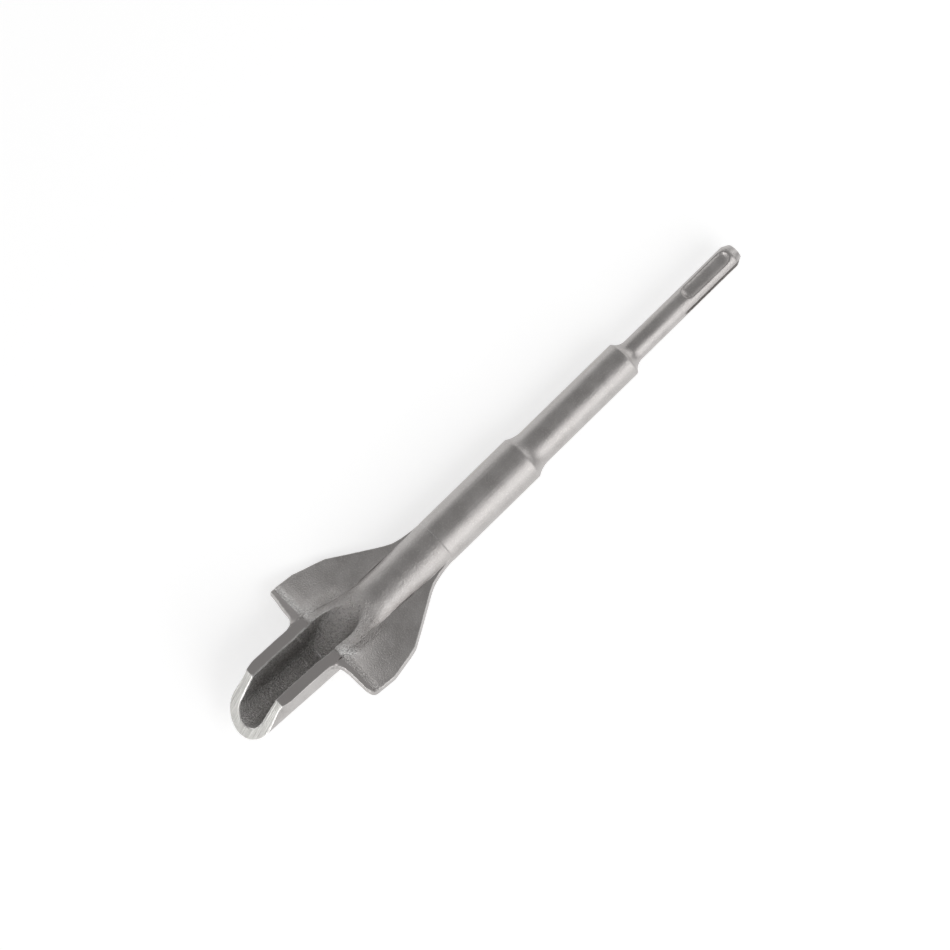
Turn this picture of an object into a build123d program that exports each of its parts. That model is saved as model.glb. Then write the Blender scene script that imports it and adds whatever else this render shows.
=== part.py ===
from build123d import *
from math import cos, radians, sin, tan
import os

os.makedirs("parts", exist_ok=True)

# The chisel is drawn along Y: cutting edge at y = 0, driven end at overall_length,
# shank axis at x = 0 and z = 0, open side of the gouge towards +Z.

# Round part
overall_length = 276.5
shank_radius = 5.0
neck_radius = 8.0
body_radius = 10.0
neck_start = 156.0
neck_fillet_length = 6.8
shank_start = 213.2
shank_fillet_length = 5.3
end_chamfer_length = 3.2
end_chamfer_depth = 1.6
round_front = 108.0
# Where round surfaces begin, clear of the grooves
seam_angle = 55.6

# Grooves of the shank: two closed ones above and below, two open ones at the sides
lock_groove_start = 3.8
lock_groove_length = 25.4
lock_groove_depth = 2.0
lock_cutter_radius = 5.0
lock_end_radius = 3.5
drive_slot_length = 34.9
drive_slot_width = 2.8
drive_slot_depth = 1.6
drive_cutter_radius = 5.0

# Gouge: a U section, raked up towards the cutting edge
rake = 8.8
bend_y = 70.8
gouge_radius = 11.0
gouge_bottom = -10.0
gouge_top = 14.0
wall_draft = 3.0
inner_radius = 6.05
floor_thickness = 3.9
straight_end = 44.5
bevel_angle = 47.0
tip_height = 0.7

# Ground top of the rails, seen from the side
ground_front = (18.0, 18.75)
ground_middle = (34.0, 17.45)
ground_back = (49.0, 14.75)

# Channel behind the straight gouge: station along Y, floor height and floor radius
channel_stations = [
    (42.0, -1.5, 6.25),
    (44.5, -1.5, 6.35),
    (50.0, 1.6, 6.8),
    (58.0, 6.3, 7.0),
    (66.0, 9.2, 7.0),
    (74.0, 9.93, 7.0),
    (82.0, 10.9, 7.0),
]
channel_opening = 30.0

# Core behind the gouge: station, half width, underside, crown and squareness of the crown
core_stations = [
    (44.0, 10.4, -5.4, 15.4, 5.0),
    (49.0, 11.25, -6.95, 15.2, 4.4),
    (54.0, 11.2, -7.6, 13.6, 3.6),
    (62.0, 10.9, -8.6, 11.3, 2.7),
    (70.0, 10.4, -9.4, 10.2, 2.2),
    (79.0, 9.95, -9.8, 9.9, 2.0),
    (88.0, 9.85, -9.85, 9.85, 2.0),
    (97.0, 9.85, -9.85, 9.85, 2.0),
    (106.0, 9.85, -9.85, 9.85, 2.0),
    (114.0, 9.85, -9.85, 9.85, 2.0),
]
core_points = 24

# Wings: half span, front edge, thickness and the ground strip along the front
half_span = 30.1
wing_front = 47.3
wing_back = 108.5
wing_thickness = 3.5
root_reach = 15.0
strip_step = 0.55
gusset_radius = 5.5
gusset_level = 11.1
front_lean = 1.3
right_corner_radius = 3.0
tip_foot = 6.1
# station along Y, middle height at the root and at the tip, flare at the root
wing_stations = [
    (50.5, 10.7, 7.85, 2.2),
    (56.0, 7.6, 6.1, 2.2),
    (64.0, 4.1, 3.9, 2.0),
    (74.0, 1.8, 1.8, 1.6),
    (86.0, 0.4, 0.4, 0.8),
    (97.0, 0.0, 0.0, 0.2),
    (109.0, 0.0, 0.0, 0.0),
]
strip_stations = [
    (38.0, 16.6, 11.1, 2.2),
    (49.0, 11.35, 8.25, 2.2),
]

# Rest on a flat surface: a wing tip and the round body touch it
rest_roll = 23.0
# Middle of the full round of the shank, where the finished part has its origin
shank_middle = 230.0


def cross_section(y):
    return Plane.XZ.offset(-y)


def arc_radius(length, height):
    return (length**2 + height**2) / (2 * height)


with BuildPart() as round_part:
    with BuildSketch(Plane.XY.rotated((0, seam_angle, 0))):
        with BuildLine():
            neck_end = neck_start + neck_fillet_length
            shank_full = shank_start + shank_fillet_length
            chamfer_start = overall_length - end_chamfer_length
            end_radius = shank_radius - end_chamfer_depth
            Line((0, overall_length), (0, round_front))
            Line((0, round_front), (body_radius, round_front))
            Line((body_radius, round_front), (body_radius, neck_start))
            RadiusArc(
                (body_radius, neck_start),
                (neck_radius, neck_end),
                arc_radius(neck_fillet_length, body_radius - neck_radius),
            )
            Line((neck_radius, neck_end), (neck_radius, shank_start))
            RadiusArc(
                (neck_radius, shank_start),
                (shank_radius, shank_full),
                arc_radius(shank_fillet_length, neck_radius - shank_radius),
            )
            Line((shank_radius, shank_full), (shank_radius, chamfer_start))
            Line((shank_radius, chamfer_start), (end_radius, overall_length))
            Line((end_radius, overall_length), (0, overall_length))
        make_face()
    revolve(axis=Axis.Y)

# Cutter for the closed grooves: a rod with rounded ends beside the shank
with BuildPart() as lock_cutter:
    with BuildSketch(Plane.XY):
        with BuildLine():
            groove_end = overall_length - lock_groove_start
            groove_front = groove_end - lock_groove_length
            flat_end = lock_cutter_radius - lock_end_radius
            Polyline((flat_end, groove_end), (0, groove_end), (0, groove_front), (flat_end, groove_front))
            RadiusArc(
                (flat_end, groove_front),
                (lock_cutter_radius, groove_front + lock_end_radius),
                -lock_end_radius,
            )
            Line(
                (lock_cutter_radius, groove_front + lock_end_radius),
                (lock_cutter_radius, groove_end - lock_end_radius),
            )
            RadiusArc(
                (lock_cutter_radius, groove_end - lock_end_radius),
                (flat_end, groove_end),
                -lock_end_radius,
            )
        make_face()
    revolve(axis=Axis.Y)

# Cutter for the open grooves: a bar with the run out of a disc at its front
with BuildPart() as slot_cutter:
    with BuildSketch(Plane.XY):
        with BuildLine():
            slot_bed = shank_radius - drive_slot_depth
            slot_front = overall_length - drive_slot_length
            run_out = (2 * drive_cutter_radius * drive_slot_depth - drive_slot_depth**2) ** 0.5
            Line((slot_bed, overall_length + 5), (slot_bed, slot_front + run_out))
            RadiusArc(
                (slot_bed, slot_front + run_out),
                (shank_radius, slot_front),
                drive_cutter_radius,
            )
            Line((shank_radius, slot_front), (shank_radius + 5, slot_front))
            Line((shank_radius + 5, slot_front), (shank_radius + 5, overall_length + 5))
            Line((shank_radius + 5, overall_length + 5), (slot_bed, overall_length + 5))
        make_face()
    extrude(amount=drive_slot_width / 2, both=True)
    mirror(about=Plane.YZ)

head_frame = Plane(
    origin=(0, bend_y, 0),
    x_dir=(1, 0, 0),
    z_dir=(0, -cos(radians(rake)), sin(radians(rake))),
)

with BuildPart() as gouge:
    with BuildSketch(head_frame.offset(bend_y - ground_back[0])):
        with BuildLine():
            centre = gouge_bottom + gouge_radius
            top_half = gouge_radius + (gouge_top - centre) * tan(radians(wall_draft))
            Polyline(
                (-gouge_radius, centre),
                (-top_half, gouge_top),
                (top_half, gouge_top),
                (gouge_radius, centre),
            )
            ThreePointArc((gouge_radius, centre), (0, gouge_bottom), (-gouge_radius, centre))
        make_face()
    extrude(amount=ground_back[0] + 20)


def crown_outline(half_width, underside, crown, squareness):
    middle = underside + half_width
    rise = crown - middle
    points = []
    for n in range(core_points):
        angle = radians(360 * n / core_points)
        c = cos(angle)
        s = sin(angle)
        power = 2 / squareness if s > 0 else 1.0
        x = half_width * (abs(c) ** power) * (1 if c > 0 else -1)
        z = middle + (rise * abs(s) ** power if s > 0 else half_width * s)
        points.append((x, z))
    return points


with BuildPart() as core:
    for y, half_width, underside, crown, squareness in core_stations:
        with BuildSketch(cross_section(y)):
            with BuildLine():
                Spline(crown_outline(half_width, underside, crown, squareness), periodic=True)
            make_face()
    loft()


def wing_section(y, root, tip, flare, step):
    half = wing_thickness / 2
    slope = (tip - root) / (half_span - 10)
    end = half_span + 6
    at_end = root + slope * (end - 10)
    at_reach = root + slope * (root_reach - 10)
    upper = root + half - step + flare
    lower = root - half - flare
    with BuildSketch(cross_section(y)) as section:
        with BuildLine():
            Line((end, at_end - half), (end, at_end + half - step))
            Line((end, at_end + half - step), (root_reach, at_reach + half - step))
            Spline(
                (root_reach, at_reach + half - step),
                (8, upper),
                tangents=[(-1, -slope), (-1, flare / 2)],
            )
            Line((8, upper), (0, upper))
            Line((0, upper), (0, lower))
            Line((0, lower), (8, lower))
            Spline(
                (8, lower),
                (root_reach, at_reach - half),
                tangents=[(1, flare / 2), (1, slope)],
            )
            Line((root_reach, at_reach - half), (end, at_end - half))
        make_face()
    return section.sketch


with BuildPart() as wing_plate:
    for y, root, tip, flare in wing_stations:
        add(wing_section(y, root, tip, flare, 0))
    loft()

with BuildPart() as wing_ramp:
    add(wing_section(*strip_stations[-1], strip_step))
    add(wing_section(*wing_stations[0], 0))
    loft()

with BuildPart() as wing_strip:
    for y, root, tip, flare in strip_stations:
        add(wing_section(y, root, tip, flare, strip_step))
    loft()

with BuildPart() as wing_plan:
    with BuildSketch(Plane.XY.offset(-30)):
        with BuildLine():
            Line((0, wing_back), (0, wing_front - front_lean))
            Line((0, wing_front - front_lean), (half_span, wing_front - front_lean))
            Line((half_span, wing_front - front_lean), (half_span, 58))
            Spline(
                (half_span, 58),
                (26.3, 72),
                tangents=[(0, 1), (-0.62, 1)],
            )
            Line((26.3, 72), (15.2, 89.6))
            Spline(
                (15.2, 89.6),
                (11.9, 95.8),
                (10.6, 101.2),
                (9.9, wing_back),
                tangents=[(-0.63, 1), (0, 1)],
            )
            Line((9.9, wing_back), (0, wing_back))
        make_face()
    extrude(amount=70)

# Fillet in plan between the side of the gouge and the front of a wing
with BuildPart() as gusset:
    with BuildSketch(Plane.XY.offset(gusset_level)):
        with BuildLine():
            side = gouge_radius + 0.6
            front = wing_front - front_lean + 0.3
            Line((5, wing_front + 2), (5, front - gusset_radius))
            Line((5, front - gusset_radius), (side, front - gusset_radius))
            RadiusArc(
                (side, front - gusset_radius),
                (side + gusset_radius, front),
                gusset_radius,
            )
            Line((side + gusset_radius, front), (side + gusset_radius, wing_front + 2))
            Line((side + gusset_radius, wing_front + 2), (5, wing_front + 2))
        make_face()
    extrude(amount=12, dir=(0, front_lean, wing_thickness), both=True)
    add(wing_strip.part, mode=Mode.INTERSECT)

# Front face of a wing, leaning forwards from the strip down to the underside
front_top = Vector(12.3, wing_front, 14.6)
front_tip = Vector(half_span, wing_front, 9.6)
front_foot = Vector(12.3, wing_front - front_lean, 14.6 - wing_thickness)
front_plane = Plane(
    origin=front_top,
    x_dir=front_tip - front_top,
    z_dir=(front_tip - front_top).cross(front_foot - front_top),
)

with BuildPart() as wing:
    add(wing_plate.part)
    add(wing_ramp.part)
    add(wing_strip.part)
    add(wing_plan.part, mode=Mode.INTERSECT)
    split(bisect_by=front_plane, keep=Keep.TOP)
    add(gusset.part)

# The right tip has a worn round corner, the left one is still sharp
with BuildPart() as corner_cut:
    with BuildSketch(Plane.XY.offset(tip_foot)):
        with BuildLine():
            foot_line = wing_front - front_lean
            round_x = half_span - right_corner_radius
            round_y = foot_line + right_corner_radius
            RadiusArc((half_span, round_y), (round_x, foot_line), right_corner_radius)
            Polyline(
                (round_x, foot_line),
                (round_x, foot_line - 4),
                (half_span + 4, foot_line - 4),
                (half_span + 4, round_y),
                (half_span, round_y),
            )
        make_face()
    extrude(amount=8, dir=(0, front_lean, wing_thickness), both=True)

with BuildPart() as ground_off:
    # everything above the ground rail tops, from the front back to the ground line
    with BuildSketch(Plane.YZ):
        with BuildLine():
            ThreePointArc(ground_back, ground_middle, ground_front)
            Polyline(
                ground_front,
                (-40, ground_front[1] + 2),
                (-40, 60),
                (ground_back[0], 60),
                ground_back,
            )
        make_face()
    extrude(amount=60, both=True)
    # the front bevel, over the whole height
    with BuildSketch(Plane.YZ):
        with BuildLine():
            lean = tan(radians(bevel_angle))
            Polyline(
                (-(tip_height + 40) * lean, -40),
                ((60 - tip_height) * lean, 60),
                (-90, 60),
                (-90, -40),
                close=True,
            )
        make_face()
    extrude(amount=60, both=True)


def channel_profile(floor, radius):
    centre = floor + radius
    top = radius + (channel_opening - centre) * tan(radians(wall_draft))
    Polyline((-radius, centre), (-top, channel_opening), (top, channel_opening), (radius, centre))
    ThreePointArc((radius, centre), (0, floor), (-radius, centre))


with BuildPart() as channel_ramp:
    for y, floor, radius in channel_stations:
        with BuildSketch(cross_section(y)):
            with BuildLine():
                channel_profile(floor, radius)
            make_face()
    loft()

with BuildPart() as straight_channel:
    with BuildSketch(head_frame.offset(bend_y - straight_end)):
        with BuildLine():
            channel_profile(gouge_bottom + floor_thickness, inner_radius)
        make_face()
    extrude(amount=80)

with BuildPart() as tool:
    add(wing.part)
    mirror(about=Plane.YZ)
    add(corner_cut.part, mode=Mode.SUBTRACT)
    add(core.part)
    add(gouge.part)
    add(ground_off.part, mode=Mode.SUBTRACT)
    add(straight_channel.part, mode=Mode.SUBTRACT)
    add(channel_ramp.part, mode=Mode.SUBTRACT)
    add(round_part.part)
    groove_axis = shank_radius - lock_groove_depth + lock_cutter_radius
    with Locations((0, 0, groove_axis), (0, 0, -groove_axis)):
        add(lock_cutter.part, mode=Mode.SUBTRACT)
    add(slot_cutter.part, mode=Mode.SUBTRACT)

with BuildPart() as channel_chisel:
    with Locations(Location((0, -shank_middle, 0), (0, -rest_roll, 0))):
        add(tool.part)

channel_chisel.part.label = "channel_chisel"
export_step(channel_chisel.part, "parts/channel_chisel.step")
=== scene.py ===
import bpy
import math
import numpy as np
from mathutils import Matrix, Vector, kdtree, noise


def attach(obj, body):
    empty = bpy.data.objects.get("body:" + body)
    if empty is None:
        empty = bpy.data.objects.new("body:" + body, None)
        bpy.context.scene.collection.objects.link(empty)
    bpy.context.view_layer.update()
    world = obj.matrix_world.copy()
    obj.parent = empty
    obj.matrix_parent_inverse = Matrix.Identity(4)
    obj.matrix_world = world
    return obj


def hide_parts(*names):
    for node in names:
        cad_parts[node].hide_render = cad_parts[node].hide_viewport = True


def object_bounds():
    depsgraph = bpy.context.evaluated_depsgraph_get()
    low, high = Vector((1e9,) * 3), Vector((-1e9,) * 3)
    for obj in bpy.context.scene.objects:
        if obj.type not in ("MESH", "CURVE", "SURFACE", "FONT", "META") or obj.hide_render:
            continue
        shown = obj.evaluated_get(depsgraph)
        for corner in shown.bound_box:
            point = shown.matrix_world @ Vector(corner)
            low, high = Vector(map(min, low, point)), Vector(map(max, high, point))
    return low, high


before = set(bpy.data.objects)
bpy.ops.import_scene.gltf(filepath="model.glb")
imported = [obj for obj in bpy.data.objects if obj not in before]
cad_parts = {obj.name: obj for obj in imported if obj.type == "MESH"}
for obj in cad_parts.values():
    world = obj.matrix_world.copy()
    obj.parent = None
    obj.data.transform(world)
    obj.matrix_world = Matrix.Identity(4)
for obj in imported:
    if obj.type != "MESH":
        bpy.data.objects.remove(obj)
cad_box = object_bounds()

# The tool's own frame, in millimetres: axis along Y, cutting edge at y = 0, open side up.
# In the row frame the tool is rolled about Y, as it lies on one wing.
ROLL = math.radians(23.0)
SHANK_MIDDLE = 230.0

# Places of the solid along Y, then across it, and the slope of the cutting bevel
RAIL_TOP_START = 34.0
STRIP_FRONT = 38.0
STRIP_BACK = 49.0
FORGED_END = 108.0
HEAD_END = 110.0
WING_ROOT = 10.0
RAIL_HALF = 11.58
HALF_SPAN = 30.1
WING_REACH = HALF_SPAN - WING_ROOT
BEVEL_ANGLE = math.radians(47.0)

# Edge lengths of the finished mesh, how far the fine band reaches from a sharp edge, and how
# fast the lengths grow beyond it
HEAD_LENGTH = 1.2
SHAFT_LENGTH = 1.5
FINE_LENGTH = 0.7
EDGE_LENGTH = 0.37
SHAFT_EDGE_LENGTH = 1.5 * EDGE_LENGTH
EDGE_BAND = 0.35
EDGE_GROWTH = 0.8

# Where the mesh is finer: in the channel, and round the roots of the wings
FINE_CHANNEL_HALF = 7.2
FINE_CHANNEL_END = 78.0
FINE_CHANNEL_LOW = -2.5
FINE_ROOTS_HALF = 17.0
FINE_ROOTS_MIDDLE = 61.0
FINE_ROOTS_REACH = 13.0
FINE_ROOTS_LOW = 2.0

# Cosines that tell the solid's edges apart: a sharp edge, a curve that runs on, an even surface
SHARP_BELOW = 0.94
RUNS_ON_ABOVE = 0.7
EVEN_ABOVE = 0.85

# Two unit normals add up to less than this where the surface bends at their edge, and an edge
# where it doesn't bend counts for this share of its length
FLAT_SUM = 1.99999
DIAGONAL_SHARE = 0.85

# A turned edge has to gain this angle, and its triangles still face the way they did
LEAST_GAIN = 0.02
SAME_WAY = 0.7


def to_tool(points):
    """Row frame in metres to tool frame in millimetres."""
    x, y, z = (points * 1000.0).T
    c, s = math.cos(ROLL), math.sin(ROLL)
    return np.column_stack([x * c + z * s, y + SHANK_MIDDLE, z * c - x * s])


def to_row(points):
    """Tool frame in millimetres to row frame in metres."""
    x, y, z = points.T
    c, s = math.cos(ROLL), math.sin(ROLL)
    return np.column_stack([x * c - z * s, y - SHANK_MIDDLE, x * s + z * c]) / 1000.0


def unit(v):
    return v / np.maximum(np.linalg.norm(v, axis=1, keepdims=True), 1e-12)


def smooth(low, high, value):
    """0 at low and 1 at high, with soft ends; high may be the smaller one."""
    t = np.clip((value - low) / (high - low), 0.0, 1.0)
    return t * t * (3.0 - 2.0 * t)


def band(value, start, full, still_full, end):
    """1 between the two middle limits, fading to 0 at the outer ones."""
    return smooth(start, full, value) * smooth(end, still_full, value)


def oval(side, y, middle, along, width, length):
    """1 in the middle of an oval that lies along a direction, fading outwards."""
    across = (side - middle[0]) * along[1] - (y - middle[1]) * along[0]
    ahead = (side - middle[0]) * along[0] + (y - middle[1]) * along[1]
    return np.exp(-((across / width) ** 2) - (ahead / length) ** 2)


def axes(points):
    """Views of the three coordinates, and the distance from the middle plane as it is now."""
    x, y, z = points.T
    return x, y, z, np.abs(x)


def corner_points(points, tris):
    return (points[tris[:, k]] for k in range(3))


def all_sides(tris):
    return np.concatenate([tris[:, [0, 1]], tris[:, [1, 2]], tris[:, [2, 0]]])


def cross_of(points, tris):
    """Twice the area of each triangle, as a vector along its normal."""
    a, b, c = corner_points(points, tris)
    return np.cross(b - a, c - a)


def angle_normals(points, tris):
    """Vertex normals, each triangle weighted by its corner angle."""
    face = unit(cross_of(points, tris))
    normals = np.zeros_like(points)
    for k in range(3):
        p = points[tris[:, k]]
        u = unit(points[tris[:, (k + 1) % 3]] - p)
        v = unit(points[tris[:, (k + 2) % 3]] - p)
        angle = np.arccos(np.clip((u * v).sum(1), -1, 1))
        np.add.at(normals, tris[:, k], face * angle[:, None])
    return unit(normals)


def area_normals(points, tris):
    """Vertex normals, each triangle weighted by its area, so that slivers count for nothing."""
    cross = cross_of(points, tris)
    normals = np.zeros_like(points)
    for k in range(3):
        np.add.at(normals, tris[:, k], cross)
    return unit(normals)


def edge_keys(pairs, count):
    """One number for each edge, the same from both of its ends."""
    low = pairs.min(axis=1).astype(np.int64)
    high = pairs.max(axis=1).astype(np.int64)
    return low * count + high


def tree_of(points):
    tree = kdtree.KDTree(len(points))
    for n, p in enumerate(points):
        tree.insert(p, n)
    tree.balance()
    return tree


class Surface:
    """The solid's faceted surface, welded, with each face's smooth normals kept at its corners."""

    def __init__(self, node):
        mesh = node.data
        flat = np.empty(len(mesh.vertices) * 3, np.float32)
        mesh.vertices.foreach_get("co", flat)
        loose = to_tool(flat.reshape(-1, 3).astype(float))
        mesh.calc_loop_triangles()
        tris = np.empty(len(mesh.loop_triangles) * 3, np.int32)
        mesh.loop_triangles.foreach_get("vertices", tris)
        tris = tris.reshape(-1, 3)
        normals = angle_normals(loose, tris)
        key = np.round(loose * 1e4).astype(np.int64)
        _, first, weld = np.unique(key, axis=0, return_index=True, return_inverse=True)
        welded = weld.ravel()[tris]
        a, b, c = welded.T
        good = (a != b) & (b != c) & (c != a)
        self.points = loose[first]
        self.tris = welded[good]
        self.normals = normals[tris[good]]
        self.face = self.face_numbers(len(loose), tris)[good]
        self.find_seams()
        self.tree = tree_of(self.sharp_points(0.5))
        self.near = self.distances(self.points)

    def face_numbers(self, count, tris):
        """The number of the connected patch that each triangle belongs to."""
        label = np.arange(count)
        while True:
            low = label[tris].min(axis=1)
            before = label.copy()
            for k in range(3):
                np.minimum.at(label, tris[:, k], low)
            label = label[label]
            if (label == before).all():
                break
        return np.unique(label[tris[:, 0]], return_inverse=True)[1].ravel()

    def edges(self):
        sides = all_sides(self.tris)
        return sides, edge_keys(sides, len(self.points))

    def side_normals(self):
        """The kept normals at the start and at the end of each triangle side."""
        start = np.concatenate([self.normals[:, k] for k in (0, 1, 2)])
        end = np.concatenate([self.normals[:, k] for k in (1, 2, 0)])
        return start, end

    def find_seams(self):
        """The edges between two patches, with the curve's direction at both ends."""
        sides, keys = self.edges()
        patch = np.tile(self.face, 3)
        start, end = self.side_normals()
        middle = unit(start + end)
        order = np.argsort(keys, kind="stable")
        pair = order[: len(order) // 2 * 2].reshape(-1, 2)
        apart = patch[pair[:, 0]] != patch[pair[:, 1]]
        pair = pair[apart]
        i, j = sides[pair[:, 0]].T
        bend = (middle[pair[:, 0]] * middle[pair[:, 1]]).sum(1)
        direction = unit(self.points[j] - self.points[i])
        length = np.linalg.norm(self.points[j] - self.points[i], axis=1)
        at = {}
        for n in range(len(i)):
            at.setdefault(i[n], []).append((n, 1))
            at.setdefault(j[n], []).append((n, -1))
        ends = [direction.copy(), direction.copy()]
        for hits in at.values():
            if len(hits) != 2:
                continue
            (n, a), (m, b) = hits
            u, v = direction[n] * -a, direction[m] * b
            if (u * v).sum() < RUNS_ON_ABOVE:
                continue
            t = u * length[m] + v * length[n]
            t = t / np.linalg.norm(t)
            ends[0 if a == 1 else 1][n] = t * -a
            ends[0 if b == 1 else 1][m] = t * b
        self.seam = {
            "ij": np.column_stack([i, j]),
            "t": np.stack(ends, 1),
            "sharp": bend < SHARP_BELOW,
        }

    def sharp_points(self, step):
        """Points along the sharp edges, at most a step apart."""
        ij = self.seam["ij"][self.seam["sharp"]]
        found = []
        for a, b in zip(self.points[ij[:, 0]], self.points[ij[:, 1]]):
            parts = max(1, int(math.ceil(np.linalg.norm(b - a) / step)))
            for k in range(parts + 1):
                found.append(a + (b - a) * (k / parts))
        return found

    def distances(self, points):
        """Distance from each point to the nearest sharp edge."""
        return np.array([self.tree.find(p)[2] for p in points])

    def refine(self, wanted):
        """Splits edges longer than wanted(middle, near), with new points on the curved surface."""
        for _ in range(60):
            self.flip(3)
            sides, keys = self.edges()
            unique, first, back = np.unique(keys, return_index=True, return_inverse=True)
            back = back.ravel()
            i, j = sides[first].T
            a, b = self.points[i], self.points[j]
            span = b - a
            middle = (a + b) / 2
            near = (self.near[i] + self.near[j]) / 2
            excess = np.linalg.norm(span, axis=1) / wanted(middle, near)
            if not (excess > 1.0).any():
                break
            long = self.longest(excess, back)
            start, end = self.side_normals()
            na, nb = start[first], end[first]
            lift = -0.125 * ((span * na).sum(1)[:, None] * na - (span * nb).sum(1)[:, None] * nb)
            where = np.searchsorted(unique, edge_keys(self.seam["ij"], len(self.points)))
            t0, t1 = self.seam["t"][:, 0], self.seam["t"][:, 1]
            reach = np.linalg.norm(span[where], axis=1)[:, None]
            lift[where] = reach * (t0 - t1) / 8.0
            new = np.full(len(unique), -1)
            new[long] = len(self.points) + np.arange(long.sum())
            added = (middle + lift)[long]
            self.points = np.concatenate([self.points, added])
            self.near = np.concatenate([self.near, self.distances(added)])
            self.split_seams(long[where], new[where])
            self.split_triangles(new[back].reshape(3, -1).T)

    def longest(self, excess, back):
        """The edge that each triangle picks to be split: its longest one, of those too long.

        A diagonal across flat ground yields to a real side.
        """
        facing = unit(cross_of(self.points, self.tris))
        total = np.zeros((len(excess), 3))
        np.add.at(total, back, np.tile(facing, (3, 1)))
        bent = np.linalg.norm(total, axis=1) < FLAT_SUM
        score = np.where(excess > 1.0, excess * np.where(bent, 1.0, DIAGONAL_SHARE), 0.0)
        score = score[back].reshape(3, -1)
        best = score.argmax(axis=0)
        rows = np.nonzero(score.max(axis=0) > 0)[0]
        long = np.zeros(len(excess), bool)
        long[back.reshape(3, -1)[best[rows], rows]] = True
        return long

    def flip(self, rounds):
        """Turns the edge between two triangles of one patch where that makes them fuller."""
        for _ in range(rounds):
            sides, keys = self.edges()
            count = len(self.tris)
            order = np.argsort(keys, kind="stable")
            k = np.nonzero(keys[order[1:]] == keys[order[:-1]])[0]
            (c1, t1), (c2, t2) = divmod(order[k], count), divmod(order[k + 1], count)
            inner = self.face[t1] == self.face[t2]
            inner &= self.tris[t1, (c1 + 1) % 3] == self.tris[t2, c2]
            c1, t1, c2, t2 = c1[inner], t1[inner], c2[inner], t2[inner]
            i, j = self.tris[t1, c1], self.tris[t2, c2]
            a, b = self.tris[t1, (c1 + 2) % 3], self.tris[t2, (c2 + 2) % 3]
            pi, pj, pa, pb = (self.points[v] for v in (i, j, a, b))
            at_a = (unit(pi - pa) * unit(pj - pa)).sum(1)
            at_b = (unit(pi - pb) * unit(pj - pb)).sum(1)
            gain = np.arccos(np.clip(at_a, -1, 1)) + np.arccos(np.clip(at_b, -1, 1)) - math.pi
            facing = unit(np.cross(pj - pi, pa - pi) + np.cross(pi - pj, pb - pj))
            left, right = np.cross(pi - pa, pb - pa), np.cross(pj - pb, pa - pb)
            na, nb = self.normals[t1, (c1 + 2) % 3], self.normals[t2, (c2 + 2) % 3]
            good = (gain > LEAST_GAIN) & ((na * nb).sum(1) > EVEN_ABOVE)
            for turned in (left, right):
                least = SAME_WAY * np.linalg.norm(turned, axis=1) + 1e-9
                good &= (turned * facing).sum(1) > least
            fresh = edge_keys(np.column_stack([a, b]), len(self.points))
            good &= ~np.isin(fresh, keys) & (a != b)
            gain = np.where(good, gain, 0.0)
            best = np.zeros(count)
            np.maximum.at(best, t1, gain)
            np.maximum.at(best, t2, gain)
            pick = np.nonzero(good & (gain == best[t1]) & (gain == best[t2]))[0]
            pick = pick[np.unique(fresh[pick], return_index=True)[1]]
            if not len(pick):
                break
            c1, t1, c2, t2, i, j, a, b = (v[pick] for v in (c1, t1, c2, t2, i, j, a, b))
            na, nb = na[pick], nb[pick]
            ni, nj = self.normals[t1, c1], self.normals[t2, c2]
            self.tris[t1], self.tris[t2] = np.column_stack([a, i, b]), np.column_stack([b, j, a])
            self.normals[t1] = np.stack([na, ni, nb], 1)
            self.normals[t2] = np.stack([nb, nj, na], 1)

    def split_seams(self, cut, new):
        """Replaces each cut seam edge by its two halves."""
        k = new[cut]
        ij, t, sharp = self.seam["ij"][cut], self.seam["t"][cut], self.seam["sharp"][cut]
        along = unit(self.points[ij[:, 1]] - self.points[ij[:, 0]])
        halves = [np.column_stack([ij[:, 0], k]), np.column_stack([k, ij[:, 1]])]
        turns = [np.stack([t[:, 0], along], 1), np.stack([along, t[:, 1]], 1)]
        self.seam = {
            "ij": np.concatenate([self.seam["ij"][~cut]] + halves),
            "t": np.concatenate([self.seam["t"][~cut]] + turns),
            "sharp": np.concatenate([self.seam["sharp"][~cut], sharp, sharp]),
        }

    def split_triangles(self, cuts):
        """Replaces each triangle by 1 to 4 new ones, by how many of its edges have a new point."""
        out_t, out_n, out_f = [], [], []

        def emit(rows, corners, normals):
            out_t.append(np.column_stack([c[rows] for c in corners]))
            out_n.append(np.stack([n[rows] for n in normals], 1))
            out_f.append(self.face[rows])

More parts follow.
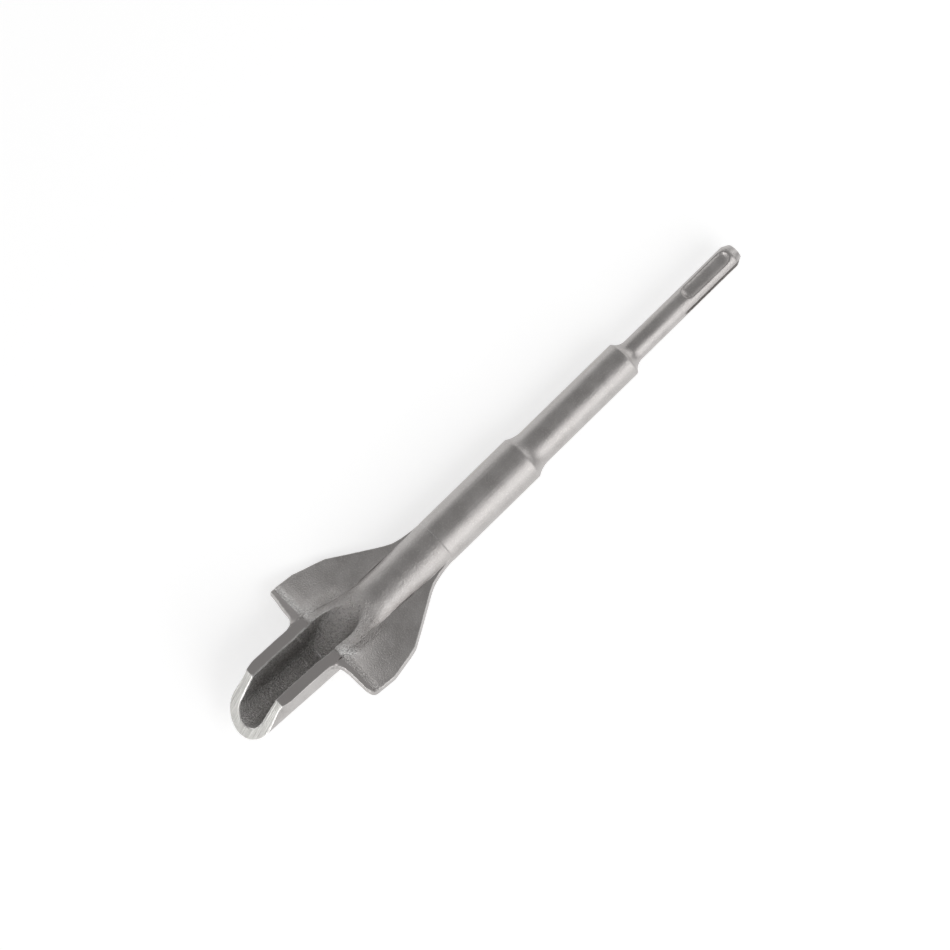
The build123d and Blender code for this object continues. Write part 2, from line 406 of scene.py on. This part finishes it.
        number = (cuts >= 0).sum(1)
        for turn in range(3):
            order = [(turn + k) % 3 for k in range(3)]
            v0, v1, v2 = self.tris[:, order].T
            c0, c1, c2 = cuts[:, order].T
            n0, n1, n2 = (self.normals[:, k] for k in order)
            m0, m1, m2 = unit(n0 + n1), unit(n1 + n2), unit(n2 + n0)
            one = np.nonzero((number == 1) & (c0 >= 0))[0]
            emit(one, (v0, c0, v2), (n0, m0, n2))
            emit(one, (c0, v1, v2), (m0, n1, n2))
            two = np.nonzero((number == 2) & (c2 < 0))[0]
            d0 = np.linalg.norm(self.points[v0[two]] - self.points[c1[two]], axis=1)
            d1 = np.linalg.norm(self.points[c0[two]] - self.points[v2[two]], axis=1)
            emit(two, (c0, v1, c1), (m0, n1, m1))
            emit(two[d0 <= d1], (v0, c0, c1), (n0, m0, m1))
            emit(two[d0 <= d1], (v0, c1, v2), (n0, m1, n2))
            emit(two[d0 > d1], (v0, c0, v2), (n0, m0, n2))
            emit(two[d0 > d1], (c0, c1, v2), (m0, m1, n2))
            if turn == 0:
                none = np.nonzero(number == 0)[0]
                emit(none, (v0, v1, v2), (n0, n1, n2))
                full = np.nonzero(number == 3)[0]
                emit(full, (v0, c0, c2), (n0, m0, m2))
                emit(full, (v1, c1, c0), (n1, m1, m0))
                emit(full, (v2, c2, c1), (n2, m2, m1))
                emit(full, (c0, c1, c2), (m0, m1, m2))
        self.tris = np.concatenate(out_t)
        self.normals = np.concatenate(out_n)
        self.face = np.concatenate(out_f)


def wanted_length(middle, near):
    """Edge length wanted at a place, finer in the channel, at the wing roots and near edges."""
    side, y, z = np.abs(middle[:, 0]), middle[:, 1], middle[:, 2]
    plain = np.where(y < HEAD_END, HEAD_LENGTH, SHAFT_LENGTH)
    channel = (side < FINE_CHANNEL_HALF) & (y < FINE_CHANNEL_END) & (z > FINE_CHANNEL_LOW)
    roots = (side < FINE_ROOTS_HALF) & (z > FINE_ROOTS_LOW)
    roots &= np.abs(y - FINE_ROOTS_MIDDLE) < FINE_ROOTS_REACH
    plain = np.where(channel | roots, FINE_LENGTH, plain)
    edge = np.where(y < HEAD_END, EDGE_LENGTH, SHAFT_EDGE_LENGTH)
    grown = np.minimum(plain, edge + EDGE_GROWTH * (near - EDGE_BAND))
    return np.where(near < EDGE_BAND, edge, grown)


def patch_means(surface):
    """Mean normal and centre of each patch of the solid."""
    face, count = surface.face, surface.face.max() + 1
    a, b, c = corner_points(surface.points, surface.tris)
    cross = cross_of(surface.points, surface.tris)
    area = np.linalg.norm(cross, axis=1) / 2
    centre = (a + b + c) / 3
    total = np.maximum(np.bincount(face, area, count), 1e-9)[:, None]
    normal = np.column_stack([np.bincount(face, cross[:, k], count) for k in range(3)])
    middle = np.column_stack([np.bincount(face, centre[:, k] * area, count) for k in range(3)])
    return normal / 2 / total, middle / total


FORGED, GROUND, BEVEL, CHANNEL, ROUND = range(5)


def patch_kinds(normal, middle):
    """What made each patch: forging, grinding of the rail tops, the bevel, the channel, turning."""
    nx, ny, nz = normal.T
    x, y, z = np.abs(middle[:, 0]), middle[:, 1], middle[:, 2]
    kind = np.full(len(nx), FORGED)
    kind[y > FORGED_END + 0.6] = ROUND
    kind[(ny < -0.6) & (nz > 0.6) & (y < 15)] = BEVEL
    rail_top = (x < 12) & (y > 20) & (y < 44)
    strip = (y > 45) & (y < STRIP_BACK)
    kind[(nz > 0.9) & (rail_top | strip)] = GROUND
    inner_wall = (nx * np.sign(middle[:, 0]) < -0.9) & (x < 8) & (y < 60)
    floor = (x < 1) & (nz > 0.1) & (z < 7) & (z > -2) & (y > 20) & (y < 60)
    kind[inner_wall | floor] = CHANNEL
    return kind


def share(points, tris, chosen):
    """How much of the surface round each point belongs to the chosen triangles."""
    area = np.linalg.norm(cross_of(points, tris), axis=1)
    every = np.zeros(len(points))
    some = np.zeros(len(points))
    for k in range(3):
        np.add.at(every, tris[:, k], area)
        np.add.at(some, tris[:, k], area * chosen)
    return some / np.maximum(every, 1e-12)


def relax(points, tris, weight, rounds):
    """Moves each point towards the mean of its neighbours, by its weight."""
    start, end = all_sides(tris).T
    size = len(points)
    count = np.maximum(np.bincount(start, minlength=size), 1)[:, None]
    for _ in range(rounds):
        total = np.column_stack([np.bincount(start, points[end, k], size) for k in range(3)])
        points = points + (total / count - points) * weight[:, None]
    return points


# How fast the finer waves of a noise weaken, and how much finer each one is
WAVES_WEAKEN = 0.8
WAVES_SHRINK = 2.1


def lumps(points, chosen, size, detail, shift):
    """Noise of about -1 to 1 at the chosen points, with lumps of a size in millimetres."""
    value = np.zeros(len(points))
    offset = Vector(shift)
    for n in np.nonzero(chosen)[0]:
        place = Vector(points[n]) / size + offset
        value[n] = noise.fractal(place, WAVES_WEAKEN, WAVES_SHRINK, detail)
    return value


def curve(at, stations, column):
    """A smooth curve through one column of the station table."""
    y = np.array([row[0] for row in stations])
    v = np.array([row[column] for row in stations])
    rate = np.gradient(v, y)
    at = np.clip(at, y[0], y[-1])
    n = np.clip(np.searchsorted(y, at) - 1, 0, len(y) - 2)
    step = y[n + 1] - y[n]
    t = (at - y[n]) / step
    bend = rate[n] * step * (t - 1) ** 2 * t + rate[n + 1] * step * (t - 1) * t**2
    return v[n] * (1 - t) ** 2 * (1 + 2 * t) + v[n + 1] * t**2 * (3 - 2 * t) + bend


# Upper side of the core: station, half width, underside, crown, squareness.
# The solid comes first, and then the real forging, whose ridges stand prouder.
CORE_SOLID = (
    (44.0, 10.4, -5.4, 15.4, 5.0),
    (49.0, 11.25, -6.95, 15.2, 4.4),
    (54.0, 11.2, -7.6, 13.6, 3.6),
    (62.0, 10.9, -8.6, 11.3, 2.7),
    (70.0, 10.4, -9.4, 10.2, 2.2),
    (79.0, 9.95, -9.8, 9.9, 2.0),
    (88.0, 9.85, -9.85, 9.85, 2.0),
)
CORE_REAL = (
    (44.0, 10.4, -5.4, 16.2, 6.0),
    (49.0, 11.55, -6.95, 16.0, 7.0),
    (54.0, 11.55, -7.6, 14.4, 5.2),
    (62.0, 11.0, -8.6, 11.4, 3.0),
    (70.0, 10.4, -9.4, 10.2, 2.2),
    (79.0, 9.95, -9.8, 9.9, 2.0),
    (88.0, 9.85, -9.85, 9.85, 2.0),
)
# Upper side of the wings: station, height at the root, height at the tip, and how much higher
# the real forging stands at the root
WING_UPPER = (
    (50.5, 12.45, 9.6, 2.6),
    (56.0, 9.35, 7.85, 1.9),
    (64.0, 5.85, 5.65, 1.3),
    (74.0, 3.55, 3.55, 0.8),
    (86.0, 2.15, 2.15, 0.4),
    (97.0, 1.75, 1.75, 0.15),
    (109.0, 1.75, 1.75, 0.0),
)
STRIP_UPPER = ((STRIP_FRONT, 17.8, 12.3, 0.0), (STRIP_BACK, 12.55, 9.45, 2.7))
COLUMNS = (1, 2, 3)

# The riser from a strip up to the wing behind it: how long it is, and the slope that limits it
RISER_LENGTH = 1.5
RISER_RUN = 1.4
RISER_SLOPE = 1.1 / RISER_RUN

# The flare of the wings' roots in the solid: its height, the stretch along Y where it grows,
# and where it starts and how wide it is across
FLARE = 2.2
FLARE_STATIONS = (86.0, 64.0)
FLARE_START = 8.0
FLARE_WIDTH = 7.0

# The ground rail tops seen from the side: height at their start, fall and bend
RAIL_TOP = 17.45
RAIL_FALL = 0.13222
RAIL_BEND = 0.0031855

# A height below everything, for places that have no core
NOWHERE = -50.0

# Where the upper side gets the forging's shape: start, full, still full and end along Y, how far
# out, and how deep under the wing's upper side the change reaches
RAISED_ALONG = (STRIP_FRONT, 40.5, 92.0, 100.0)
RAISED_HALF = 31.0
RAISED_DEPTH = 5.5

# What is taken off stands behind the strips up to here, or in a narrow stretch beside the rails
BLOCK_BACK = 58.0
BESIDE_ACROSS = (10.9, 12.6)
BESIDE_FRONT = 41.5
BESIDE_DEPTH = 1.3


def core_height(side, y, stations):
    half, under, crown, square = (curve(y, stations, k) for k in (1, 2, 3, 4))
    inner = np.clip(1.0 - (side / half) ** square, 0.0, 1.0)
    level = under + half + (crown - under - half) * inner ** (1.0 / square)
    return np.where(side < half, level, NOWHERE)


def wing_height(side, y, crested):
    """Upper side of a wing, with the strip in front of it and the riser between them."""
    strip = np.array(STRIP_UPPER)
    back = [curve(y, WING_UPPER, k) for k in COLUMNS]
    front = [np.interp(y, strip[:, 0], strip[:, k]) for k in COLUMNS]
    blend = np.clip((y - STRIP_BACK) / RISER_LENGTH, 0.0, 1.0)
    root, tip, crest = (f + (b - f) * blend for f, b in zip(front, back))
    flat = root + (tip - root) * (side - WING_ROOT) / WING_REACH
    if crested:
        return flat + crest * (1.0 - (np.maximum(side, WING_ROOT) - WING_ROOT) / WING_REACH)
    flare = FLARE * smooth(*FLARE_STATIONS, y)
    return flat + flare * np.clip(1.0 - (side - FLARE_START) / FLARE_WIDTH, 0.0, 1.0) ** 2


def ground_line(y):
    """Height of the ground rail tops, seen from the side."""
    back = y - RAIL_TOP_START
    return RAIL_TOP - RAIL_FALL * back - RAIL_BEND * back**2


def upper_side(side, y, core, crested):
    level = np.maximum(core_height(side, y, core), wing_height(side, y, crested))
    ground = ground_line(y)
    level = np.where((side < RAIL_HALF) & (y < STRIP_BACK), ground, level)
    riser = ground_line(STRIP_BACK) + (y - STRIP_BACK) * RISER_SLOPE
    limit = np.where(y < STRIP_BACK, ground, riser)
    return np.where(y < STRIP_BACK + RISER_RUN, np.minimum(level, limit), level)


def raise_upper_side(points):
    """Gives the upper side behind the rails the forging's own shape.

    What stands above that is taken off, and which points those are comes back as well.
    """
    x, y, z, side = axes(points)
    solid = upper_side(side, y, CORE_SOLID, False)
    real = upper_side(side, y, CORE_REAL, True)
    base = wing_height(side, y, False) - RAISED_DEPTH
    part = np.clip((z - base) / np.maximum(solid - base, 1.0), 0.0, 1.0)
    fade = band(y, *RAISED_ALONG)
    here = (side < RAISED_HALF) & (z > base) & (fade > 0)
    z = np.where(here, z + (real - solid) * part * fade, z)
    block = here & (y > STRIP_BACK - 0.05) & (y < BLOCK_BACK) & (z > real - 0.02)
    beside = (side > BESIDE_ACROSS[0]) & (side < BESIDE_ACROSS[1])
    beside &= (y > BESIDE_FRONT) & (y < STRIP_BACK)
    block |= beside & (z > real - BESIDE_DEPTH)
    z = np.where(block, real, z)
    return np.column_stack([x, y, z]), block


# Regions that fade in and out along Y, or across from the middle plane: start, full, still
# full and end, in millimetres
CORNER_ACROSS = (14.5, 16.5, 17.0, 18.5)
CORNER_ALONG = (44.5, 45.5, 47.0, STRIP_BACK)
GUSSET_ACROSS = (9.0, 10.5, 17.0, 19.0)
GUSSET_ALONG = (40.5, 42.5, 48.2, 49.2)
APEX_ALONG = (64.0, 68.0, 84.0, 88.0)
STRIP_ALONG = (44.0, 44.6, 48.6, 48.9)
ROOT_ALONG = (48.8, 50.0, 58.0, 72.0)
RUNOUT_ALONG = (50.0, 56.0, 66.0, 76.0)
RISER_ALONG = (48.7, 49.2, 50.5, 52.0)
FORWARD_ACROSS = (11.0, 14.5, 19.0, 29.0)
FORWARD_ALONG = (36.0, 41.0, 46.8, STRIP_BACK)

# The left wing's front: its step forward, and the fullness, place and size of its fillet
FORWARD_STEP = 0.9
FILLET_STEP = 0.5
FILLET_AT = (13.2, 43.6)
FILLET_ALONG = (0.0, 1.0)
FILLET_SIZE = (2.2, 2.4)

# The wing edges behind the strips: where they start, how far they run, how much nearer to the
# middle they end, and how far the solid's curve stands out from the straight line
RUN_START = 58.0
RUN_LENGTH = 14.0
RUN_TAPER = 3.8
RUN_BOW = 1.0

# How far the corners of the rail tips are pinched inwards
PINCH = 1.0

# The hammered lump: place, direction, half width and half length, and the left one's share
LUMP_AT = (11.2, 51.8)
LUMP_ALONG = (0.63, 0.78)
LUMP_SIZE = (2.3, 4.0)
LEFT_LUMP = 0.45

# Heights of the relief, and the sizes of the lumps in it
ROUGH_HEIGHT, ROUGH_SIZE = 0.08, 1.3
GRAIN_HEIGHT, GRAIN_SIZE = 0.15, 0.9
WAVE_HEIGHT, WAVE_SIZE = 0.045, 7.0
LUMP_HEIGHT = 0.4
RING_DEPTH = 0.06
RING_WIDTH = 0.35
RING_RADIUS = 8.5

# A place counts as rough, lumpy or hammered from this share upwards
LEAST_SHARE = 0.02


def break_edges(points, tris, near):
    """Breaks sharp edges a little, more in the corners where grinding and forging meet."""
    x, y, z, side = axes(points)
    corner = band(side, *CORNER_ACROSS) * band(y, *CORNER_ALONG)
    weight = 0.6 * np.clip(1.0 - near / 0.5, 0, 1)
    points = relax(points, tris, np.maximum(weight, 0.6 * corner), 4)
    inner = (side < 7.8) & (y < 48.0) & (z > 9.0)
    return relax(points, tris, 0.7 * inner * np.clip(1.0 - near / 0.8, 0, 1), 6)


def shape_rail_ends(points, tris):
    """Takes the blocks off, lays the strips flush with the rail tops and raises the ridges.

    How much each point faces up comes back as well.
    """
    points, block = raise_upper_side(points)
    loose = share(points, tris, block[tris].any(axis=1))
    for _ in range(4):
        points = relax(points, tris, 0.5 * loose, 3)
        x, y, z, side = axes(points)
        level = upper_side(side, y, CORE_REAL, True)
        points[:, 2] = np.where(block | (loose > 0) & (z > level), level, z)
    x, y, z, side = axes(points)
    top = smooth(0.2, 0.6, area_normals(points, tris)[:, 2])
    gusset = top * band(side, *GUSSET_ACROSS) * band(y, *GUSSET_ALONG)
    points = relax(points, tris, 0.6 * gusset, 12)
    apex = top * smooth(6.5, 5.0, side) * band(y, *APEX_ALONG)
    return relax(points, tris, 0.6 * apex, 20), top


surface = Surface(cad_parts["channel_chisel"])
surface.refine(wanted_length)
tris = surface.tris
kinds = patch_kinds(*patch_means(surface))[surface.face]
points = break_edges(surface.points, tris, surface.near)
points, top = shape_rail_ends(points, tris)
x, y, z, side = axes(points)
normals = area_normals(points, tris)

# Masks by what made the surface, from 0 to 1 at each point
bevel = share(points, tris, kinds == BEVEL)
inside = share(points, tris, kinds == CHANNEL)
turned = share(points, tris, kinds == ROUND)
strip = top * band(y, *STRIP_ALONG) * smooth(8.0, 11.0, side)
ground = np.maximum(share(points, tris, kinds == GROUND), strip)

# Rough forging round the ends of the ridges, the roots of the wings and the end of the channel
root = top * smooth(16.5, 11.5, side) * band(y, *ROOT_ALONG)
runout = top * smooth(9.0, 6.0, side) * band(y, *RUNOUT_ALONG)
riser = top * smooth(31.0, 29.0, side) * band(y, *RISER_ALONG)
rough = np.clip(root + runout + 0.9 * inside * smooth(72.0, 60.0, y) + 0.7 * riser, 0, 1)
rough *= 1 - ground
hammered = (y < FORGED_END) & (turned < 0.5)

# The left wing's front stands a little further forward near its root, with a fuller fillet
left = x < 0
forward = left * band(side, *FORWARD_ACROSS) * band(y, *FORWARD_ALONG)
points[:, 1] -= FORWARD_STEP * forward * smooth(2.0, 7.0, z)
fillet = left * oval(side, y, FILLET_AT, FILLET_ALONG, *FILLET_SIZE) * smooth(2.0, 7.0, z)
points[:, 0] -= FILLET_STEP * fillet
points[:, 1] -= FILLET_STEP * fillet

# Behind the strips the wing edges run straight, with a blunt corner at each end
run = np.clip((y - RUN_START) / RUN_LENGTH, 0, 1)
bow = RUN_BOW * 4.0 * run * (1.0 - run)
outline = HALF_SPAN - RUN_TAPER * run + bow
points[:, 0] -= np.sign(x) * bow * smooth(0.75, 0.97, side / outline)

# The outer corners of the rail tips are pinched inwards
pinch = smooth(24.0, 17.5, y) * smooth(7.5, 11.0, side) * smooth(8.0, 17.0, z)
points[:, 0] -= np.sign(x) * PINCH * pinch

# A hammered lump shines where the right ridge begins, a smaller one on the left
lump = top * oval(side, y, LUMP_AT, LUMP_ALONG, *LUMP_SIZE) * np.where(x > 0, 1.0, LEFT_LUMP)
lump *= smooth(48.8, 49.6, y)

# Relief of the forging: rough places, the lump with its grain, and hammered waves
wave = np.clip(1 - ground - bevel, 0, 1) * hammered
bumps = lumps(points, rough > LEAST_SHARE, ROUGH_SIZE, 3, (3.0, 7.0, 1.0))
grain = lumps(points, lump > LEAST_SHARE, GRAIN_SIZE, 3, (1.0, 4.0, 2.0))
waves = lumps(points, wave > LEAST_SHARE, WAVE_SIZE, 2, (9.0, 2.0, 5.0))
lift = ROUGH_HEIGHT * rough * bumps
lift += LUMP_HEIGHT * lump + GRAIN_HEIGHT * lump * grain
lift += WAVE_HEIGHT * wave * waves

# A dull line where the turned body meets the forged head
ring = np.exp(-(((y - FORGED_END) / RING_WIDTH) ** 2)) * (np.hypot(x, z) > RING_RADIUS)
lift -= RING_DEPTH * ring * smooth(-0.2, 0.6, normals[:, 2])
points = points + normals * lift[:, None]

# Painted highlights on edges and painted shade in creases, by how far each point stands out from
# its neighbours, in millimetres
normals = area_normals(points, tris)
bulge = -((relax(points, tris, np.ones(len(points)), 1) - points) * normals).sum(1)
crease_shade = smooth(0.01, 0.05, -bulge) * hammered
close = smooth(0.6, 0.3, surface.near)
edge = close * smooth(0.01, 0.035, bulge)
edge *= np.maximum(smooth(62.0, 56.0, y), smooth(10.0, 12.0, side))
# Painted highlight along the inner edge of the left rail
rim_highlight = close * (x < 0) * (side < 7.8) * (y < 47.0) * (z > 9.0)

# Scale left in the channel, and the places painted bright: wear with a painted highlight on the
# hammered lump, painted highlights on the left riser and on the top of the ring, and a bright line
# along a sill in the channel
wall = smooth(0.5, 0.85, np.abs(normals[:, 0]))
scale_share = inside * (0.45 + 0.55 * wall) * smooth(66.0, 50.0, y)
# The hammered lump gets wear and a painted highlight, and the left riser, which faces the lamps,
# gets a painted highlight
highlight_and_wear = np.clip(1.2 * lump + 0.55 * riser * (x < 0) * smooth(12.0, 15.0, side), 0, 1)
sill = inside * np.exp(-(((y - 43.9) / 0.4) ** 2)) * smooth(6.0, 3.0, z)
highlight_and_wear = np.maximum(highlight_and_wear, 0.8 * sill)
# Painted highlight along the top of the ring
highlight_and_wear = np.maximum(highlight_and_wear, 0.5 * ring * top * smooth(FORGED_END, FORGED_END + 0.2, y) * (x < 3.0))

masks = {
    "ground": ground,
    "bevel": bevel,
    "scale": scale_share,
    "rough": np.clip(rough + 0.2 * wave, 0, 1),
    "edge": np.maximum(edge, rim_highlight),
    "crease_shade": crease_shade,
    "highlight_and_wear": highlight_and_wear,
}


def add_object(name, data):
    obj = bpy.data.objects.new(name, data)
    bpy.context.scene.collection.objects.link(obj)
    return obj


def make_object(name, points, tris, masks, material):
    """A smooth mesh with area-weighted normals, and each mask as an attribute of its points."""
    mesh = bpy.data.meshes.new(name)
    mesh.vertices.add(len(points))
    mesh.vertices.foreach_set("co", to_row(points).astype(np.float32).ravel())
    mesh.loops.add(len(tris) * 3)
    mesh.loops.foreach_set("vertex_index", tris.astype(np.int32).ravel())
    mesh.polygons.add(len(tris))
    mesh.polygons.foreach_set("loop_start", np.arange(0, len(tris) * 3, 3, dtype=np.int32))
    mesh.polygons.foreach_set("use_smooth", np.ones(len(tris), bool))
    mesh.materials.append(material)
    mesh.update(calc_edges=True)
    mesh.normals_split_custom_set_from_vertices(area_normals(to_row(points), tris).tolist())
    for key, value in masks.items():
        attribute = mesh.attributes.new(key, "FLOAT", "POINT")
        attribute.data.foreach_set("value", value.astype(np.float32))
    return add_object(name, mesh)


class Shading:
    """Short calls for building a node material."""

    def __init__(self, name):
        self.material = bpy.data.materials.new(name)
        self.material.use_nodes = True
        self.nodes = self.material.node_tree.nodes
        self.links = self.material.node_tree.links
        self.shader = self.nodes["Principled BSDF"].inputs

    def put(self, socket, value):
        if isinstance(value, (int, float)):
            socket.default_value = value
        elif isinstance(value, tuple):
            socket.default_value = (*value, 1.0)
        else:
            self.links.new(value, socket)

    def output(self, kind, name):
        return self.nodes.new(kind).outputs[name]

    def mask(self, name):
        node = self.nodes.new("ShaderNodeAttribute")
        node.attribute_name = name
        return node.outputs["Fac"]

    def moved(self, vector, name, value):
        node = self.nodes.new("ShaderNodeMapping")
        node.inputs[name].default_value = value
        self.links.new(vector, node.inputs["Vector"])
        return node.outputs["Vector"]

    def noise(self, waves, detail, place):
        """Noise by position, its scale in waves a metre."""
        node = self.nodes.new("ShaderNodeTexNoise")
        node.inputs["Scale"].default_value = waves
        node.inputs["Detail"].default_value = detail
        self.links.new(place, node.inputs["Vector"])
        return node.outputs["Fac"]

    def combine(self, operation, a, b):
        node = self.nodes.new("ShaderNodeMath")
        node.operation = operation
        self.put(node.inputs[0], a)
        self.put(node.inputs[1], b)
        return node.outputs[0]

    def times(self, a, b):
        return self.combine("MULTIPLY", a, b)

    def span(self, value, low, high, to_low=0.0, to_high=1.0):
        node = self.nodes.new("ShaderNodeMapRange")
        for k, part in enumerate((value, low, high, to_low, to_high)):
            self.put(node.inputs[k], part)
        return node.outputs["Result"]

    def blend(self, factor, a, b):
        node = self.nodes.new("ShaderNodeMix")
        node.data_type = "RGBA"
        self.put(node.inputs[0], factor)
        self.put(node.inputs[6], a)
        self.put(node.inputs[7], b)
        return node.outputs[2]

    def bump(self, height, depth, normal=None):
        node = self.nodes.new("ShaderNodeBump")
        node.inputs["Strength"].default_value = 1.0
        node.inputs["Distance"].default_value = depth
        self.links.new(height, node.inputs["Height"])
        if normal:
            self.links.new(normal, node.inputs["Normal"])
        return node.outputs["Normal"]


# Colours of the steel, dark and light where a noise runs between the two; the glint, highlight and
# crease colours are painted light and shade
FORGED_COLOURS = (0.44, 0.42, 0.41), (0.52, 0.50, 0.49)
GLINT_COLOUR = (0.60, 0.58, 0.56)
SCALE_COLOURS = (0.33, 0.32, 0.31), (0.68, 0.665, 0.655)
GROUND_COLOUR = (0.485, 0.46, 0.45)
HIGHLIGHT_AND_WEAR_COLOURS = (0.55, 0.54, 0.53), (0.92, 0.91, 0.90)
CUT_COLOURS = (0.33, 0.325, 0.31), (0.46, 0.455, 0.44)
CREASE_SHADE_COLOUR = (0.14, 0.13, 0.125)
EDGE_HIGHLIGHT_COLOUR = (0.80, 0.79, 0.77)

# Waves of the noises in a metre, and depths of the bumps in metres
CLOUD_WAVES = 140.0
SPECK_WAVES = 1600.0
LINE_WAVES = 2400.0
GRIT_WAVES = 2600.0
LINE_STRETCH = (1.0, 1.0, 0.025)
LINE_DEPTH = 0.00012
PIT_DEPTH = 0.0001
COARSE_DEPTH = 0.0009


def make_steel():
    """One steel, told apart by the masks: forged skin, scale, ground and cut faces, wear with
    painted highlights, painted glints, painted shade in creases and painted highlights on edges.
    """
    steel = Shading("forged steel")
    place = steel.output("ShaderNodeTexCoord", "Object")
    cloud = steel.noise(CLOUD_WAVES, 5.0, place)
    grit = steel.noise(GRIT_WAVES, 2.0, place)
    speck = steel.noise(SPECK_WAVES, 3.0, place)
    straight = steel.moved(place, "Rotation", (0.0, ROLL, 0.0))
    upright = steel.moved(straight, "Rotation", (BEVEL_ANGLE, 0.0, 0.0))
    lines = steel.noise(LINE_WAVES, 3.0, steel.moved(upright, "Scale", LINE_STRETCH))

    colour = steel.blend(steel.span(cloud, 0.35, 0.65), *FORGED_COLOURS)
    # Lighter random flecks are painted glints of the blasted skin
    colour = steel.blend(steel.span(speck, 0.5, 0.72, 0.0, 0.7), colour, GLINT_COLOUR)
    scale = steel.blend(steel.span(speck, 0.35, 0.7), *SCALE_COLOURS)
    colour = steel.blend(steel.mask("scale"), colour, scale)
    colour = steel.blend(steel.mask("ground"), colour, GROUND_COLOUR)
    # Light steel for the painted highlights and the wear
    shine = steel.blend(steel.span(speck, 0.4, 0.58), *HIGHLIGHT_AND_WEAR_COLOURS)
    colour = steel.blend(steel.mask("highlight_and_wear"), colour, shine)
    cut = steel.blend(steel.span(lines, 0.35, 0.62), *CUT_COLOURS)
    colour = steel.blend(steel.mask("bevel"), colour, cut)
    # Painted shade darkens the creases
    colour = steel.blend(steel.times(steel.mask("crease_shade"), 0.6), colour, CREASE_SHADE_COLOUR)
    # Painted highlights on the edges
    colour = steel.blend(steel.times(steel.mask("edge"), 0.8), colour, EDGE_HIGHLIGHT_COLOUR)
    steel.put(steel.shader["Base Color"], colour)
    steel.put(steel.shader["Metallic"], 1.0)

    dull = steel.span(steel.mask("scale"), 0.0, 1.0, 0.37, 0.41)
    dull = steel.combine("ADD", dull, steel.span(cloud, 0.3, 0.7, -0.06, 0.06))
    steel.put(steel.shader["Roughness"], dull)

    # Grinding lines run up the bevel, blasting leaves fine pits elsewhere
    lined = steel.combine("MAXIMUM", steel.mask("bevel"), steel.times(steel.mask("ground"), 0.4))
    normal = steel.bump(steel.times(lines, lined), LINE_DEPTH)
    pits = steel.times(grit, steel.combine("SUBTRACT", 1.0, lined))
    normal = steel.bump(pits, PIT_DEPTH, normal)
    normal = steel.bump(steel.times(speck, steel.mask("rough")), COARSE_DEPTH, normal)
    steel.put(steel.shader["Normal"], normal)
    return steel.material


# The bumps stay inside the solid's own box
points = to_tool(np.clip(to_row(points), *np.array([list(v) for v in cad_box])))
body = make_object("chisel", points, tris, masks, make_steel())
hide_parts("channel_chisel")
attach(body, "root")

# Floor and world: half the floor's width and its gap under the part in metres, and their light
FLOOR_HALF = 40.0
FLOOR_GAP = 0.00005
FLOOR_GLOW = 0.58
WORLD_LIGHT = 0.36
WHITE = (1.0, 1.0, 1.0)


def make_floor():
    """A pale floor that glows white for the camera and in reflections only."""
    h = FLOOR_HALF
    mesh = bpy.data.meshes.new("floor")
    mesh.from_pydata([(-h, -h, 0), (h, -h, 0), (h, h, 0), (-h, h, 0)], [], [(0, 1, 2, 3)])
    paint = Shading("floor paint")
    paint.put(paint.shader["Base Color"], (0.7, 0.7, 0.7))
    paint.put(paint.shader["Roughness"], 0.9)
    paint.put(paint.shader["Specular IOR Level"], 0.0)
    path = paint.nodes.new("ShaderNodeLightPath").outputs
    seen = paint.combine("MAXIMUM", path["Is Camera Ray"], path["Is Glossy Ray"])
    paint.put(paint.shader["Emission Color"], WHITE)
    paint.put(paint.shader["Emission Strength"], paint.times(seen, FLOOR_GLOW))
    mesh.materials.append(paint.material)
    obj = add_object("floor", mesh)
    obj.location.z = cad_box[0].z - FLOOR_GAP
    return obj


floor = make_floor()

world = bpy.data.worlds.new("studio")
world.use_nodes = True
background = world.node_tree.nodes["Background"].inputs
background["Color"].default_value = (*WHITE, 1.0)
background["Strength"].default_value = WORLD_LIGHT
bpy.context.scene.world = world

# Camera fitted to the photograph: focal length and width in its pixels, place in metres and
# turn in degrees in the row frame
SENSOR_WIDTH = 36.0
FOCAL_PIXELS = 2800.0
PHOTO_PIXELS = 950.0
CAMERA_PLACE = (-0.075693, -0.223886, 1.100421)
CAMERA_TURN = (2.2389, -7.3107, 45.8100)
CAMERA_REACH = (0.05, 100.0)

# The picture's own directions in the row frame, for placing the lamps
RIGHT = Vector((0.69137, 0.71120, 0.12725))
DOWN = Vector((0.71995, -0.69294, -0.03875))
NEAR = Vector((-0.06062, -0.11840, 0.99111))
AIM = Vector((-0.01, -0.12, 0.0))
LAMP_DISTANCE = 1.6

# Lamps: name, shares of the three directions, width in metres, power in watts
LAMPS = (
    ("key", (0.70, 0.37, 0.62), 1.4, 8.8),
    ("low right", (0.70, 0.70, 0.14), 0.9, 2.5),
    ("low front", (-0.70, 0.70, 0.16), 0.9, 13.0),
    ("far end", (0.70, -0.70, 0.14), 0.9, 3.0),
)

camera_data = bpy.data.cameras.new("camera")
camera_data.sensor_width = SENSOR_WIDTH
camera_data.lens = SENSOR_WIDTH * FOCAL_PIXELS / PHOTO_PIXELS
camera_data.clip_start, camera_data.clip_end = CAMERA_REACH
camera = add_object("camera", camera_data)
camera.location = CAMERA_PLACE
camera.rotation_euler = [math.radians(angle) for angle in CAMERA_TURN]
bpy.context.scene.camera = camera

for name, (right, down, near), width, power in LAMPS:
    direction = (RIGHT * right + DOWN * down + NEAR * near).normalized()
    light = bpy.data.lights.new(name, "AREA")
    light.shape = "SQUARE"
    light.size = width
    light.energy = power
    lamp = add_object(name, light)
    lamp.location = AIM + direction * LAMP_DISTANCE
    lamp.rotation_euler = direction.to_track_quat("Z", "Y").to_euler()

bpy.context.scene.view_settings.view_transform = "Standard"
